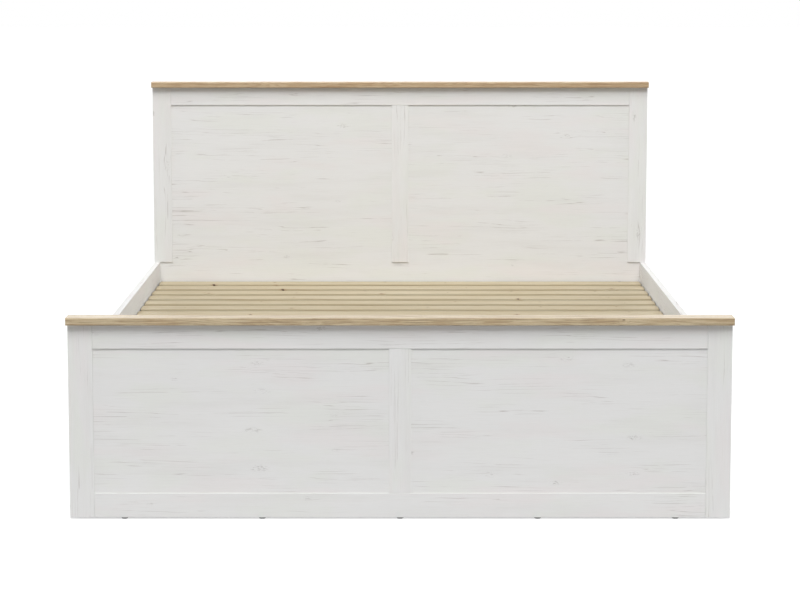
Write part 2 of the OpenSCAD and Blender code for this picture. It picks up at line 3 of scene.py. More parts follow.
import itertools
import math
import bmesh
import bpy
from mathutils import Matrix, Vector


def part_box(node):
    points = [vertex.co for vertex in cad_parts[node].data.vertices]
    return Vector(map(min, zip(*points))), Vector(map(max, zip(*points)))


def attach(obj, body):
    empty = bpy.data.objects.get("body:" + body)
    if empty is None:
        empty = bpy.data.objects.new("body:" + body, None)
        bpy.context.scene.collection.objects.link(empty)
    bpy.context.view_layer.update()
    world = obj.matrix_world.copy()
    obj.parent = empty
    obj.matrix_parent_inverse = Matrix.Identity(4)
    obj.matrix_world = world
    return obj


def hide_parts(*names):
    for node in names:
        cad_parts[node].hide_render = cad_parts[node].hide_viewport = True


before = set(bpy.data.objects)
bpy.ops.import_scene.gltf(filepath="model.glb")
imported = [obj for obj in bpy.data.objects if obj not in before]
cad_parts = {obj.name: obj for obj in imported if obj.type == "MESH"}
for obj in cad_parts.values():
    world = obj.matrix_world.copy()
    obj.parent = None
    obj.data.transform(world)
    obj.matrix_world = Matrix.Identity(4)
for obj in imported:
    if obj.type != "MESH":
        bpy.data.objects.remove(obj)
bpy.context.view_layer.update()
scene = bpy.context.scene
scene.view_settings.view_transform = "Standard"


# Camera
# A long lens stands on the bed's middle line, well in front of the footboard and a little above the
# headboard's cap. Its distance, height, tilt and small shift were fitted to the end panels' edges.

camera = bpy.data.objects.new("camera", bpy.data.cameras.new("camera"))
camera.data.lens = 103.66
camera.data.shift_y = -0.10
camera.location = (0.0, -6.7384, 1.4122)
camera.rotation_euler = (math.radians(90 - 6.523), 0.0, 0.0)
scene.collection.objects.link(camera)
scene.camera = camera


# Studio
# A pale floor runs to a white background. Soft lamps high in front draw the shadows under the caps
# and battens, two at the sides light the rails' inner faces, one behind lights the back, and a
# softbox over the bed fills the headboard.

class Field:
    """A socket of a node tree that can be written in sums and products."""

    def __init__(self, tree, socket):
        self.tree = tree
        self.socket = socket

    def math(self, operation, *values):
        made = self.tree.nodes.new("ShaderNodeMath")
        made.operation = operation
        for given, value in zip(made.inputs, values):
            feed(self.tree, given, value)
        return Field(self.tree, made.outputs[0])

    def __add__(self, other):
        return self.math("ADD", self, other)

    def __radd__(self, other):
        return self.math("ADD", other, self)

    def __sub__(self, other):
        return self.math("SUBTRACT", self, other)

    def __rsub__(self, other):
        return self.math("SUBTRACT", other, self)

    def __mul__(self, other):
        return self.math("MULTIPLY", self, other)

    def __rmul__(self, other):
        return self.math("MULTIPLY", other, self)

    def __truediv__(self, other):
        return self.math("DIVIDE", self, other)

    def ramp(self, low, high, at_low=0.0, at_high=1.0):
        """Goes smoothly from at_low to at_high as the field goes from low to high."""
        made = put(self.tree, "ShaderNodeMapRange", {"interpolation_type": "SMOOTHSTEP"},
                   {"Value": self, "From Min": low, "From Max": high,
                    "To Min": at_low, "To Max": at_high})
        return Field(self.tree, made.outputs["Result"])


def feed(tree, socket, value):
    """Links a field or a socket to a node's input, or sets the input's value."""
    if isinstance(value, Field):
        value = value.socket
    if isinstance(value, bpy.types.NodeSocket):
        tree.links.new(value, socket)
    else:
        socket.default_value = value


def put(tree, kind, settings=None, inputs=None):
    """Adds a node to a tree, with its settings, and its inputs by the names that it shows."""
    made = tree.nodes.new(kind)
    for name, value in (settings or {}).items():
        setattr(made, name, value)
    for name, value in (inputs or {}).items():
        shown = [s for s in made.inputs if s.enabled and s.name == name]
        feed(tree, shown[0], value)
    return made


def background_rays(tree):
    """1 for a ray that should meet the plain background: seen, mirrored or seen through."""
    path = put(tree, "ShaderNodeLightPath")
    seen = Field(tree, path.outputs["Is Camera Ray"])
    mirrored = Field(tree, path.outputs["Is Glossy Ray"])
    through = Field(tree, path.outputs["Is Transmission Ray"])
    return seen.math("MAXIMUM", seen, mirrored.math("MAXIMUM", mirrored, through))


world = bpy.data.worlds.new("studio")
world.use_nodes = True
world.node_tree.nodes.clear()
scene.world = world
tree = world.node_tree
towards = put(tree, "ShaderNodeTexCoord").outputs["Generated"]
height = Field(tree, put(tree, "ShaderNodeSeparateXYZ", None, {"Vector": towards}).outputs["Z"])
fill = put(tree, "ShaderNodeBackground", None,
           {"Color": (1.0, 1.0, 1.0, 1.0), "Strength": height.ramp(0.0, 1.0, 0.31, 0.22)})
plain = put(tree, "ShaderNodeBackground", None, {"Color": (1.0, 1.0, 1.0, 1.0), "Strength": 1.0})
mixed = put(tree, "ShaderNodeMixShader", None, {"Fac": background_rays(tree)})
tree.links.new(fill.outputs[0], mixed.inputs[1])
tree.links.new(plain.outputs[0], mixed.inputs[2])
put(tree, "ShaderNodeOutputWorld", None, {"Surface": mixed.outputs[0]})

LAMPS = {  # azimuth, elevation and softness in degrees, then strength
    "lamp_above": (0, 56, 34, 1.96),
    "lamp_front": (0, 39, 14, 0.50),
    "lamp_left": (-90, 17, 30, 1.14),
    "lamp_right": (90, 17, 30, 1.14),
    "lamp_behind": (180, 16, 30, 0.5),
}
for name, (azimuth, elevation, softness, strength) in LAMPS.items():
    lamp = bpy.data.objects.new(name, bpy.data.lights.new(name, "SUN"))
    lamp.data.energy = strength
    lamp.data.angle = math.radians(softness)
    lamp.rotation_euler = (math.radians(90 - elevation), 0.0, math.radians(azimuth))
    scene.collection.objects.link(lamp)

softbox = bpy.data.objects.new("lamp_over_bed", bpy.data.lights.new("lamp_over_bed", "AREA"))
softbox.data.shape = "RECTANGLE"
softbox.data.size = 2.4
softbox.data.size_y = 0.7
softbox.data.spread = math.radians(55)
softbox.data.energy = 1.7
softbox.data.color = (0.96, 0.985, 1.0)
softbox.location = (0.0, -0.9, 2.3)
headboard_middle = Vector((0.0, 1.02, 0.72))
softbox.rotation_euler = (headboard_middle - softbox.location).to_track_quat("-Z", "Y").to_euler()
softbox.visible_camera = False
scene.collection.objects.link(softbox)

FLOOR_REACH = 40.0
floor_mesh = bpy.data.meshes.new("floor")
corners = [(x * FLOOR_REACH, y * FLOOR_REACH, 0.0) for x, y in ((-1, -1), (1, -1), (1, 1), (-1, 1))]
floor_mesh.from_pydata(corners, [], [(0, 1, 2, 3)])
floor = bpy.data.objects.new("floor", floor_mesh)
scene.collection.objects.link(floor)

paint = bpy.data.materials.new("pale_floor")
paint.use_nodes = True
tree = paint.node_tree
tree.nodes.clear()
bounce = put(tree, "ShaderNodeBsdfDiffuse", None, {"Color": (0.51, 0.51, 0.51, 1.0)})
shaded = put(tree, "ShaderNodeBsdfDiffuse", None, {"Color": (0.42, 0.42, 0.42, 1.0)})
lift = put(tree, "ShaderNodeEmission", None, {"Color": (1.0, 1.0, 1.0, 1.0), "Strength": 0.62})
seen_floor = put(tree, "ShaderNodeAddShader")
tree.links.new(shaded.outputs[0], seen_floor.inputs[0])
tree.links.new(lift.outputs[0], seen_floor.inputs[1])
mixed = put(tree, "ShaderNodeMixShader", None, {"Fac": background_rays(tree)})
tree.links.new(bounce.outputs[0], mixed.inputs[1])
tree.links.new(seen_floor.outputs[0], mixed.inputs[2])
put(tree, "ShaderNodeOutputMaterial", None, {"Surface": mixed.outputs[0]})
floor_mesh.materials.append(paint)


# Headboard boards
# A 16 mm chipboard panel carries 4 mm stiles and a top batten on its front, and a batten behind.
# All are wrapped in a whitewashed pine foil, and are glued on and screwed from behind.

FOIL_EDGE = 0.0010   # radius of a foil-wrapped panel's edges
STRIP_EDGE = 0.0013  # radius of the thin stiles' and battens' edges


def new_finish(name, **even):
    """A material with one Principled shader, whose plain values are set on its own sockets."""
    finish = bpy.data.materials.new(name)
    finish.use_nodes = True
    tree = finish.node_tree
    tree.nodes.clear()
    shader = put(tree, "ShaderNodeBsdfPrincipled")
    for socket, value in even.items():
        shader.inputs[socket.replace("_", " ")].default_value = value
    put(tree, "ShaderNodeOutputMaterial", None, {"Surface": shader.outputs[0]})
    return finish, tree, shader


def board_number(tree):
    return Field(tree, put(tree, "ShaderNodeAttribute", {"attribute_name": "board"}).outputs["Fac"])


def board_place(tree, axes):
    """Places on a board as fields along, across and through it, moved on by the board's number."""
    at = put(tree, "ShaderNodeTexCoord").outputs["Object"]
    parts = put(tree, "ShaderNodeSeparateXYZ", None, {"Vector": at}).outputs
    moves = (1.731, 0.417, 0.093)
    return [Field(tree, parts[axis]) + board_number(tree) * move for axis, move in zip(axes, moves)]


def drawn_noise(tree, place, sizes, detail=2.0, rough=0.5):
    """Noise from 0 to 1 whose features have these sizes, in metres, along, across and through."""
    spread = [part / size for part, size in zip(place, sizes)]
    vector = put(tree, "ShaderNodeCombineXYZ", None, dict(zip("XYZ", spread)))
    made = put(tree, "ShaderNodeTexNoise", None,
               {"Vector": vector.outputs[0], "Scale": 1.0, "Detail": detail, "Roughness": rough})
    return Field(tree, made.outputs["Fac"])


def knots_in(tree, place, spacing, size, share, length=1.7):
    """Knots scattered over a board. Gives the place bent round them, and how near a knot is, in
    knot radii. spacing is the room for one knot along and across, and share how many of them are."""
    along, across, through = place
    cells = put(tree, "ShaderNodeCombineXYZ", None, {"X": along / spacing[0], "Y": across / spacing[1]})
    found = put(tree, "ShaderNodeTexVoronoi", {"voronoi_dimensions": "2D"},
                {"Vector": cells.outputs[0], "Scale": 1.0, "Randomness": 0.9})
    middle = put(tree, "ShaderNodeSeparateXYZ", None, {"Vector": found.outputs["Position"]}).outputs
    chance = put(tree, "ShaderNodeSeparateColor", None, {"Color": found.outputs["Color"]}).outputs
    off_along = along - Field(tree, middle["X"]) * spacing[0]
    off_across = across - Field(tree, middle["Y"]) * spacing[1]
    there = along.math("LESS_THAN", Field(tree, chance["Red"]), share)
    least, spread = 0.45, 0.9
    radius = (Field(tree, chance["Green"]) * spread + least) * size
    oval = put(tree, "ShaderNodeCombineXYZ", None, {"X": off_along / length, "Y": off_across})
    reach = put(tree, "ShaderNodeVectorMath", {"operation": "LENGTH"}, {"Vector": oval.outputs[0]})
    far = 50.0
    away = Field(tree, reach.outputs["Value"]) / radius + (1.0 - there) * far
    pull = away.ramp(0.3, 6.0, 0.85, 0.0)
    return [along, across - off_across * pull, through], away


def year_rings(tree, place, ring, wander, pith, waver=1.2):
    """Year rings cut by a board as a saw wave from 0 to 1. ring is one year's width, wander how
    far the grain strays sideways, and pith where the log's middle lies across and through."""
    along, across, through = place
    stray = drawn_noise(tree, place, (0.55, 0.12, 0.12), 2.0) - 0.5
    beside = across + stray * wander - pith[0]
    behind = through - pith[1]
    radius = along.math("SQRT", beside * beside + behind * behind)
    taper = 0.006
    wavy = drawn_noise(tree, place, (0.30, 0.02, 0.02), 2.0) * waver
    return along.math("FRACT", (radius + along * taper) / ring + wavy)


def shade(tree, colour, other, amount):
    """Mixes a colour towards another by a field, and gives the new colour's socket."""
    made = put(tree, "ShaderNodeMix", {"data_type": "RGBA"}, {"Factor": amount})
    feed(tree, made.inputs[6], colour)
    feed(tree, made.inputs[7], other)
    return made.outputs[2]


def surfaced(tree, shader, colour, rough, height, depth):
    """Gives a shader its colour, its roughness and its fine relief: a field from 0 to 1 that raises
    the surface by up to depth, in metres."""
    relief = put(tree, "ShaderNodeBump", None, {"Height": height, "Distance": depth, "Strength": 1.0})
    feed(tree, shader.inputs["Base Color"], colour)
    feed(tree, shader.inputs["Roughness"], rough)
    feed(tree, shader.inputs["Normal"], relief.outputs[0])


def edge_patches(tree):
    """1 on a piece's eased edges, broken up a little, and 0 on its faces."""
    edge = Field(tree, put(tree, "ShaderNodeAttribute", {"attribute_name": "edge"}).outputs["Fac"])
    at = put(tree, "ShaderNodeTexCoord").outputs["Object"]
    patchy = put(tree, "ShaderNodeTexNoise", None, {"Vector": at, "Scale": 60.0, "Detail": 2.0})
    return edge * Field(tree, patchy.outputs["Fac"]).ramp(0.40, 0.65)


def wrapped(place):
    """Places on a foil that is folded round a board's long edges: across it, both sides run on."""
    along, across, through = place
    return [along, across + through, through - across]


def whitewashed(name, axes):
    """Whitewashed pine foil: fine broken lines in short runs, soft bands of warmer and greener
    white, and knots drawn as a few frayed strokes."""
    finish, tree, shader = new_finish(name, Specular_IOR_Level=0.22)
    place, away = knots_in(tree, wrapped(board_place(tree, axes)), (0.19, 0.100), 0.0036, 0.22, 2.6)
    wide = drawn_noise(tree, place, (0.60, 0.26, 0.26), 2.0)
    cloud = drawn_noise(tree, place, (0.30, 0.045, 0.045), 3.0)
    runs = drawn_noise(tree, place, (0.20, 0.045, 0.045), 2.0)
    broken = drawn_noise(tree, place, (0.055, 0.0040, 0.0040), 2.0).ramp(0.38, 0.52)
    lines = year_rings(tree, place, 0.0130, 0.045, (0.21, -0.03), 2.2)
    line = lines.ramp(0.86, 0.945) * lines.ramp(0.96, 1.0, 1.0, 0.0)
    line = line * runs.ramp(0.50, 0.62) * broken
    stroke = drawn_noise(tree, place, (0.070, 0.0021, 0.0021), 2.0, 0.55).ramp(0.60, 0.72)
    stroke = stroke * runs.ramp(0.54, 0.66)
    painted_sheen = drawn_noise(tree, place, (0.075, 0.0040, 0.0040), 2.0, 0.6)
    pores = drawn_noise(tree, place, (0.024, 0.0014, 0.0014), 1.0)
    green = drawn_noise(tree, place, (0.24, 0.13, 0.13), 3.0)
    pink = drawn_noise(tree, [place[0] + 7.3, place[1], place[2]], (0.30, 0.10, 0.10), 3.0)
    colour = (0.739, 0.737, 0.731, 1.0)
    colour = shade(tree, colour, (0.727, 0.734, 0.706, 1.0), green.ramp(0.46, 0.64) * 0.9)
    colour = shade(tree, colour, (0.742, 0.717, 0.712, 1.0), pink.ramp(0.48, 0.68) * 0.8)
    colour = shade(tree, colour, (0.664, 0.656, 0.642, 1.0), cloud.ramp(0.45, 0.80) * 0.40)
    colour = shade(tree, colour, (0.764, 0.760, 0.748, 1.0), wide.ramp(0.50, 0.75) * 0.30)
    # painted sheen: fine streaks painted lighter along the grain, and darker streaks between them
    colour = shade(tree, colour, (0.640, 0.628, 0.600, 1.0), painted_sheen.ramp(0.52, 0.74) * 0.15)
    colour = shade(tree, colour, (0.790, 0.786, 0.776, 1.0), painted_sheen.ramp(0.46, 0.28) * 0.17)
    colour = shade(tree, colour, (0.385, 0.350, 0.330, 1.0), line * 0.58)
    colour = shade(tree, colour, (0.400, 0.375, 0.355, 1.0), stroke * 0.34)
    colour = shade(tree, colour, (0.590, 0.578, 0.555, 1.0), pores.ramp(0.55, 0.80) * 0.14)
    frayed = drawn_noise(tree, place, (0.0085, 0.0024, 0.0024), 2.0, 0.65).ramp(0.50, 0.62)
    faint = drawn_noise(tree, place, (0.11, 0.11, 0.11), 1.0).ramp(0.35, 0.65, 0.25, 0.65)
    knot = away.ramp(0.6, 2.4, 1.0, 0.0) * frayed * faint
    colour = shade(tree, colour, (0.300, 0.280, 0.262, 1.0), knot * 0.80)
    # painted highlight: the eased edges are painted lighter, in broken patches
    colour = shade(tree, colour, (0.770, 0.766, 0.756, 1.0), edge_patches(tree) * 0.45)
    rough = 0.62 + line * 0.12 + pores * 0.07 - wide * 0.05
    relief = 1.0 - line * 0.6 - stroke * 0.5 - pores * 0.2 - knot * 0.5
    surfaced(tree, shader, colour, rough, relief, 0.00016)
    return finish


def joined(node, near=1e-6):
    """A bmesh of a CAD node with its loose triangles joined and its flat faces made whole."""
    shape = bmesh.new()
    shape.from_mesh(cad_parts[node].data)
    bmesh.ops.remove_doubles(shape, verts=shape.verts, dist=near)
    bmesh.ops.dissolve_limit(shape, angle_limit=math.radians(0.2), verts=shape.verts, edges=shape.edges)
    return shape


def ease(shape, radius, segments=3, least=0.02, angle=30.0):
    """Rounds a shape's outer arrises that are longer than least, and marks the new faces as edge."""
    arrises = [e for e in shape.edges if e.is_manifold and e.is_convex and e.calc_length() > least
               and e.calc_face_angle() > math.radians(angle)]
    mark = shape.faces.layers.float.new("edge")
    made = bmesh.ops.bevel(shape, geom=arrises, offset=radius, segments=segments, profile=0.5,
                           affect="EDGES", clamp_overlap=False)
    for face in made["faces"]:
        face[mark] = 1.0


SHARP = 42.0  # degrees between two faces, past which their arris stays sharp


def fitted(piece, body, stands_for, sharp=SHARP):
    """Shades a piece smooth between its sharp arrises, with flat faces kept flat, and sets it on
    its body in place of its CAD nodes."""
    piece.data.shade_smooth()
    piece.data.set_sharp_from_angle(angle=math.radians(sharp))
    evened = piece.modifiers.new("evened_normals", "WEIGHTED_NORMAL")
    evened.keep_sharp = True
    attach(piece, body)
    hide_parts(*stands_for)
    return piece


def finished(name, shape, finish, body, stands_for):
    """Makes a bmesh a piece with its finish."""
    mesh = bpy.data.meshes.new(name)
    shape.to_mesh(mesh)
    shape.free()
    mesh.materials.append(finish)
    piece = bpy.data.objects.new(name, mesh)
    scene.collection.objects.link(piece)
    return fitted(piece, body, stands_for)


def numbered(piece, number):
    """Gives a board the number that its own grain is drawn by."""
    numbers = piece.data.attributes.new("board", "FLOAT", "POINT")
    numbers.data.foreach_set("value", [float(number)] * len(piece.data.vertices))


board_numbers = itertools.count(1)


def eased_board(node, finish, body, edge, least=0.02):
    """A CAD board with a number of its own, and with its edges rounded that are longer than least."""
    shape = joined(node)
    ease(shape, edge, least=least)
    piece = finished(node + "_board", shape, finish, body, [node])
    numbered(piece, next(board_numbers))


foil_across = whitewashed("whitewashed_grain_across", (0, 2, 1))
foil_upright = whitewashed("whitewashed_grain_upright", (2, 0, 1))
for node in ("headboard_panel", "headboard_back_rail"):
    eased_board(node, foil_across, "root", FOIL_EDGE)
eased_board("headboard_top_rail", foil_across, "root", STRIP_EDGE)
for node in ("headboard_stile_left", "headboard_stile_right", "headboard_centre_stile"):
    eased_board(node, foil_upright, "root", STRIP_EDGE)


# Headboard and footboard caps
# 19 mm boards in an oak foil with rounded long edges lie on the panels and stand 20 mm proud of
# their fronts. The foil is wrapped round the edges, and the ends have edging of the same oak.

CAP_END_EDGE = 0.0006


def oak(name, axes):
    """Oak foil: crisp fine streaks, year rings with dark late wood, pores and a rare small knot.
    Every other board is a little browner."""
    finish, tree, shader = new_finish(name, Specular_IOR_Level=0.5)
    place, away = knots_in(tree, wrapped(board_place(tree, axes)), (0.30, 0.055), 0.0030, 0.5)
    rings = year_rings(tree, place, 0.0052, 0.10, (0.055, -0.02), 3.4)
    cloud = drawn_noise(tree, place, (0.12, 0.024, 0.024), 3.0)
    streak = drawn_noise(tree, place, (0.120, 0.0034, 0.0034), 3.0, 0.66)
    fine = drawn_noise(tree, place, (0.070, 0.0018, 0.0018), 2.0, 0.6)
    pores = drawn_noise(tree, place, (0.012, 0.0010, 0.0010), 1.0)
    late = rings.ramp(0.40, 0.90) * rings.ramp(0.93, 1.0, 1.0, 0.0)
    colour = shade(tree, (0.535, 0.442, 0.290, 1.0), (0.440, 0.335, 0.200, 1.0), cloud.ramp(0.40, 0.66))
    colour = shade(tree, colour, (0.330, 0.236, 0.134, 1.0), late * 0.46)
    colour = shade(tree, colour, (0.215, 0.150, 0.082, 1.0), streak.ramp(0.54, 0.63) * 0.68)
    colour = shade(tree, colour, (0.650, 0.552, 0.382, 1.0), streak.ramp(0.46, 0.34) * 0.60)
    colour = shade(tree, colour, (0.225, 0.158, 0.090, 1.0), fine.ramp(0.54, 0.64) * 0.58)
    colour = shade(tree, colour, (0.210, 0.138, 0.080, 1.0), pores.ramp(0.58, 0.76) * 0.34)
    core = away.ramp(0.4, 1.4, 1.0, 0.0)
    colour = shade(tree, colour, (0.15, 0.095, 0.055, 1.0), core * 0.78)
    browner = cloud.math("FRACT", board_number(tree) * 0.5)
    colour = shade(tree, colour, (0.400, 0.175, 0.070, 1.0), browner * 0.44)
    colour = shade(tree, colour, (0.270, 0.182, 0.108, 1.0), edge_patches(tree) * 0.45)
    rough = 0.42 + streak.ramp(0.5, 0.8) * 0.12 + pores * 0.08
    relief = 1.0 - streak.ramp(0.5, 0.75) * 0.4 - pores.ramp(0.55, 0.8) * 0.4
    surfaced(tree, shader, colour, rough, relief, 0.00018)
    return finish


oak_foil = oak("oak_foil", (0, 1, 2))
for node in ("headboard_cap", "footboard_cap"):
    eased_board(node, oak_foil, "root", CAP_END_EDGE, least=0.0)


# Footboard boards
# Built as the headboard is: a 16 mm panel down to the glides, with 4 mm stiles and battens on its
# front and a batten behind its upper edge, in the same foil.

for node in ("footboard_panel", "footboard_back_rail"):
    eased_board(node, foil_across, "root", FOIL_EDGE)
for node in ("footboard_top_rail", "footboard_bottom_rail"):
    eased_board(node, foil_across, "root", STRIP_EDGE)
for node in ("footboard_stile_left", "footboard_stile_right", "footboard_centre_stile"):
    eased_board(node, foil_upright, "root", STRIP_EDGE)


# Dowels under the caps
# Fluted beech dowels, 8 by 30 mm with chamfered ends, are glued into the panels' upper edges and
# the caps. Ten are the same, so one is turned and set in each hole.

def socket_of(group, name):
    """The identifier of a geometry tree's input, which a modifier is set by."""
    return next(item.identifier for item in group.interface.items_tree
                if item.item_type == "SOCKET" and item.in_out == "INPUT" and item.name == name)


def new_shape_tree(name, inputs):
    """A geometry tree with named inputs. Gives the tree, its inputs' sockets and its result."""
    group = bpy.data.node_groups.new(name, "GeometryNodeTree")
    group.interface.new_socket("Start", in_out="INPUT", socket_type="NodeSocketGeometry")
    for given, kind in inputs.items():
        group.interface.new_socket(given, in_out="INPUT", socket_type="NodeSocket" + kind)
    group.interface.new_socket("Shape", in_out="OUTPUT", socket_type="NodeSocketGeometry")
    given = group.nodes.new("NodeGroupInput").outputs
    return group, given, group.nodes.new("NodeGroupOutput").inputs["Shape"]


def close_tree(group, shape, finish, result):
    """Ends a geometry tree in real geometry with its material."""
    real = put(group, "GeometryNodeRealizeInstances", None, {"Geometry": shape})
    coated = put(group, "GeometryNodeSetMaterial", None, {"Geometry": real.outputs[0], "Material": finish})
    group.links.new(coated.outputs[0], result)


def grown(name, start, group, values, body, stands_for, sharp=SHARP):
    """Runs a geometry tree on a start mesh, and makes the result a plain piece on a body."""
    piece = bpy.data.objects.new(name, start)
    scene.collection.objects.link(piece)
    modifier = piece.modifiers.new("grown", "NODES")
    modifier.node_group = group
    for given, value in values.items():
        modifier[socket_of(group, given)] = value
    graph = bpy.context.evaluated_depsgraph_get()
    mesh = bpy.data.meshes.new_from_object(piece.evaluated_get(graph), preserve_all_data_layers=True,
                                           depsgraph=graph)
    piece.modifiers.remove(modifier)
    mesh.name = name
    piece.data = mesh
    return fitted(piece, body, stands_for, sharp)


SIDES = 24     # faces round a turned part
WAIST = 0.34   # of a crossed recess, between its arms
FLUTE = 0.95   # radius in a dowel's flutes, as a share of its own


def ring_reach(kind, angle):
    """How far out a turned ring lies at an angle, for a round, hexagonal, crossed or fluted one."""
    if kind == "hex":
        return 1.0 / math.cos(angle % (math.pi / 3) - math.pi / 6)
    if kind == "cross":
        return WAIST + (1.0 - WAIST) * abs(math.cos(2 * angle)) ** 2.5
    if kind == "fluted":
        return 1.0 if round(angle * SIDES / math.tau) % 2 else FLUTE
    return 1.0


def turned(name, rings):
    """A part turned about Z from its lowest ring to its last, each with a height, radius and kind."""
    shape = bmesh.new()
    loops = []
    for height, radius, kind in rings:
        angles = [math.tau * k / SIDES for k in range(SIDES)]
        reaches = [radius * ring_reach(kind, angle) for angle in angles]
        loops.append([shape.verts.new((r * math.cos(a), r * math.sin(a), height))
                      for r, a in zip(reaches, angles)])
    for below, above in zip(loops, loops[1:]):
        for k in range(SIDES):
            j = (k + 1) % SIDES
            shape.faces.new((below[k], below[j], above[j], above[k]))
    shape.faces.new(list(reversed(loops[0])))
    shape.faces.new(loops[-1])
    mesh = bpy.data.meshes.new(name)
    shape.to_mesh(mesh)
    shape.free()
    return bpy.data.objects.new(name, mesh)


def solids_of(node):
    """The lowest and highest corner of each separate solid in a CAD node, in the order of their
    places to the millimetre, so that each run draws the same turns."""
    shape = joined(node)
    left = set(shape.verts)
    boxes = []
    while left:
        island = [left.pop()]
        for vert in island:
            for edge in vert.link_edges:
                beyond = edge.other_vert(vert)
                if beyond in left:
                    left.remove(beyond)
                    island.append(beyond)
        spans = [[vert.co[axis] for vert in island] for axis in range(3)]
        boxes.append((Vector(map(min, spans)), Vector(map(max, spans))))
    shape.free()
    return sorted(boxes, key=lambda box: [round(place, 3) for place in box[0]])


def places(name, spots):
    """A start mesh with a point at each spot, and the way that its part faces there."""
    mesh = bpy.data.meshes.new(name)
    mesh.from_pydata([spot for spot, facing in spots], [], [])
    facings = mesh.attributes.new("facing", "FLOAT_VECTOR", "POINT")
    facings.data.foreach_set("vector", [part for spot, facing in spots for part in facing])
    return mesh


setting, given, result = new_shape_tree("part_set_in_places", {
    "Part": "Object", "Finish": "Material", "Turn": "Float", "Seed": "Int"})
facing = put(setting, "GeometryNodeInputNamedAttribute", {"data_type": "FLOAT_VECTOR"}, {"Name": "facing"})
aimed = put(setting, "FunctionNodeAlignRotationToVector", {"axis": "Z"},
            {"Vector": facing.outputs["Attribute"]})
random_turn = put(setting, "FunctionNodeRandomValue", {"data_type": "FLOAT"},
                  {"Min": 0.0, "Max": given["Turn"], "Seed": given["Seed"]})
spin = put(setting, "FunctionNodeAxisAngleToRotation", None,
           {"Axis": (0.0, 0.0, 1.0), "Angle": random_turn.outputs[1]})
turn = put(setting, "FunctionNodeRotateRotation", {"rotation_space": "LOCAL"},
           {"Rotation": aimed.outputs[0], "Rotate By": spin.outputs[0]})
source = put(setting, "GeometryNodeObjectInfo", {"transform_space": "ORIGINAL"}, {"Object": given["Part"]})
spread = put(setting, "GeometryNodeInstanceOnPoints", None,
             {"Points": given["Start"], "Instance": source.outputs["Geometry"],
              "Rotation": turn.outputs[0]})
close_tree(setting, spread.outputs[0], given["Finish"], result)


def set_in_places(name, part, finish, spots, body, node, seed):
    """Sets a turned part at each spot of a CAD node, each turned about its own axis by chance."""
    grown(name, places(name + "_places", spots), setting,
          {"Part": part, "Finish": finish, "Turn": math.tau, "Seed": seed}, body, [node])


beech, tree, shader = new_finish("beech_dowel", Specular_IOR_Level=0.4)
upright = board_place(tree, (2, 0, 1))
fleck = drawn_noise(tree, upright, (0.0030, 0.0006, 0.0006), 2.0)
warmth = drawn_noise(tree, upright, (0.040, 0.0040, 0.0040), 2.0)
colour = shade(tree, (0.560, 0.400, 0.250, 1.0), (0.480, 0.330, 0.195, 1.0), warmth.ramp(0.3, 0.7))
colour = shade(tree, colour, (0.330, 0.205, 0.120, 1.0), fleck.ramp(0.55, 0.75) * 0.6)
surfaced(tree, shader, colour, 0.55 + fleck * 0.2, fleck, 0.00008)

CHAMFER = 0.0008
boxes = solids_of("cap_dowels")
radius = (boxes[0][1].x - boxes[0][0].x) / 2
half = (boxes[0][1].z - boxes[0][0].z) / 2
dowel = turned("dowel", [(-half, radius - CHAMFER, "round"), (-half + CHAMFER, radius, "fluted"),
                         (half - CHAMFER, radius, "fluted"), (half, radius - CHAMFER, "round")])
spots = [((low + high) / 2, (0, 0, 1)) for low, high in boxes]
set_in_places("fluted_dowels", dowel, beech, spots, "root", "cap_dowels", seed=3)


# Side rails
# One 18 mm board a side between the end panels, in the same foil with its grain along the bed.
# It is bolted to the corner brackets and carries the lift plate.

foil_along = whitewashed("whitewashed_grain_along", (1, 2, 0))
for node in ("side_rail_left", "side_rail_right"):
    eased_board(node, foil_along, "root", FOIL_EDGE)


# Support battens
# Planed pine battens, 18 by 30 mm, are screwed to the side rails' inner faces and carry the
# slats' ends from the footboard to the lift.

def pine(name, axes, tone, ring):
    """Planed pine: honey late wood between pale early wood, brown knots and sawn end grain."""
    finish, tree, shader = new_finish(name, Specular_IOR_Level=0.40)
    along, across, through = board_place(tree, axes)
    leaning = [along + through * 0.5, across + through * 0.6, through]
    place, away = knots_in(tree, leaning, (0.27, 0.060), 0.0032, 0.50, 1.25)
    rings = year_rings(tree, place, ring, 0.03, (0.02, -0.05))
    cloud = drawn_noise(tree, place, (0.40, 0.030, 0.030), 2.0)
    fibre = drawn_noise(tree, place, (0.05, 0.0014, 0.0014), 2.0, 0.6)
    late = rings.ramp(0.30, 0.93) * rings.ramp(0.94, 1.0, 1.0, 0.0)
    one = put(tree, "ShaderNodeTexWhiteNoise", {"noise_dimensions": "1D"}, {"W": board_number(tree)})
    own = Field(tree, one.outputs["Value"])
    pale, honey, amber = [[c * tone for c in rgb] + [1.0] for rgb in
                          ((0.572, 0.506, 0.366), (0.502, 0.424, 0.282), (0.385, 0.280, 0.158))]
    colour = shade(tree, pale, honey, cloud.ramp(0.32, 0.70))
    colour = shade(tree, colour, honey, own * 0.45)
    colour = shade(tree, colour, amber, late * 0.48)
    colour = shade(tree, colour, amber, fibre.ramp(0.55, 0.80) * 0.32)
    halo = away.ramp(0.9, 3.4, 1.0, 0.0)
    colour = shade(tree, colour, (0.330, 0.205, 0.100, 1.0), halo * 0.40)
    core = away.ramp(0.75, 1.15, 1.0, 0.0)
    colour = shade(tree, colour, (0.085, 0.046, 0.024, 1.0), core * 0.90)
    rough = 0.58 - late * 0.08 + fibre * 0.08 - core * 0.10
    relief = 0.6 + late * 0.4 - fibre.ramp(0.55, 0.8) * 0.4
    surfaced(tree, shader, colour, rough, relief, 0.00016)
    return finish


pine_along = pine("pine_batten_grain_along", (1, 2, 0), tone=0.94, ring=0.0040)
eased_board("support_battens", pine_along, "root", edge=0.0015)


# Glides
# Grey plastic glides, 17 mm across, are nailed under every board that stands on the floor. They
# keep the foil's lower edges dry and let the bed be pushed.

